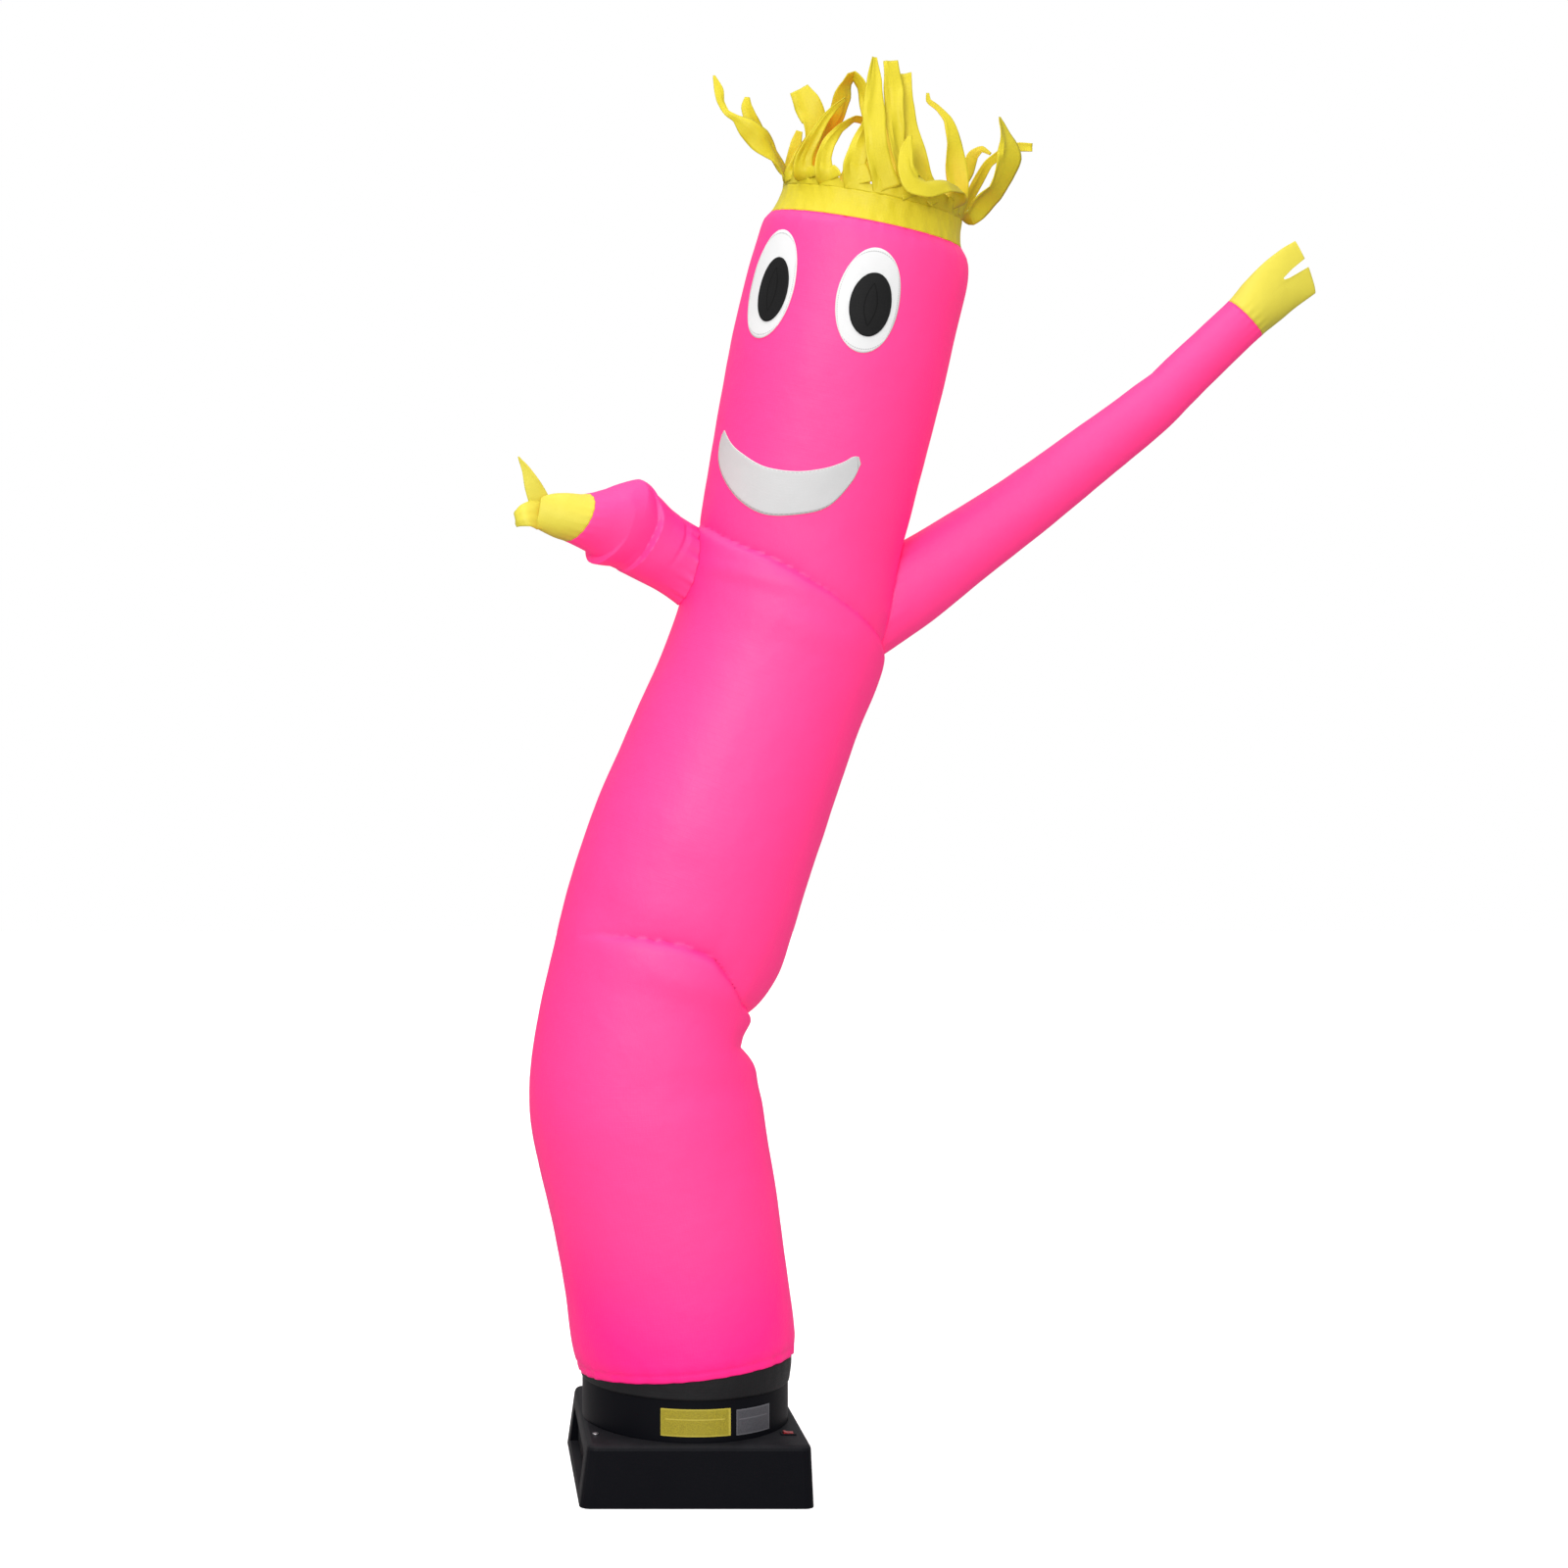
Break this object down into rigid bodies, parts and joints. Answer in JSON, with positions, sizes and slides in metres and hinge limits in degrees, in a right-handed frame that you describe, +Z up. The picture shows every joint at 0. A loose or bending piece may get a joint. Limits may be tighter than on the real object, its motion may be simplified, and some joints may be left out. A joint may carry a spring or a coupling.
{
  "type": "inflatable air dancer with blower",
  "caption": "Blown-up fabric tube figure with a smiling face, two thin arms and cut ribbon hair, bent over to one side on a low square blower.",
  "frame": {"origin": "on the floor, under the middle of the blower's base", "axes": "+Z up; -Y towards the blower's front, from which the picture looks; +X towards the figure's long raised arm"},
  "size_m": [1.1956, 0.4351, 2.0698],
  "materials": {
    "pink_nylon": "thin woven nylon, slightly shiny",
    "yellow_nylon": "thin woven nylon",
    "white_nylon": "thin woven nylon",
    "black_nylon": "thin woven nylon",
    "black_plastic": "satin moulded",
    "black_rubber": "matt",
    "red_plastic": "glossy, slightly see-through",
    "screw_steel": "plated",
    "sticker_yellow": "printed film",
    "sticker_grey": "printed film"
  },
  "bodies": {
    "dancer": {"body_tube": "pink_nylon", "right_arm": "pink_nylon", "left_arm": "pink_nylon", "right_hand": "yellow_nylon", "left_hand": "yellow_nylon", "hair_band": "yellow_nylon", "hair_streamers": "yellow_nylon", "eye_left": "white_nylon", "eye_right": "white_nylon", "pupil_left": "black_nylon", "pupil_right": "black_nylon", "mouth": "white_nylon", "cuff": "black_nylon", "blower_base": "black_plastic", "blower_collar": "black_plastic", "intake_grille": "black_plastic", "label_yellow": "sticker_yellow", "label_grey": "sticker_grey", "switch_rim": "black_plastic", "screw_1": "screw_steel", "screw_2": "screw_steel", "screw_3": "screw_steel", "cord_gland": "black_rubber"},
    "rocker": {"switch_rocker": "red_plastic"}
  },
  "joints": [
    {"name": "switch_tilt", "type": "hinge", "parent": "dancer", "child": "rocker", "pos_m": [0.138, -0.104, 0.088], "axis": [0, 1, 0], "range_deg": [-14, 0]}
  ]
}
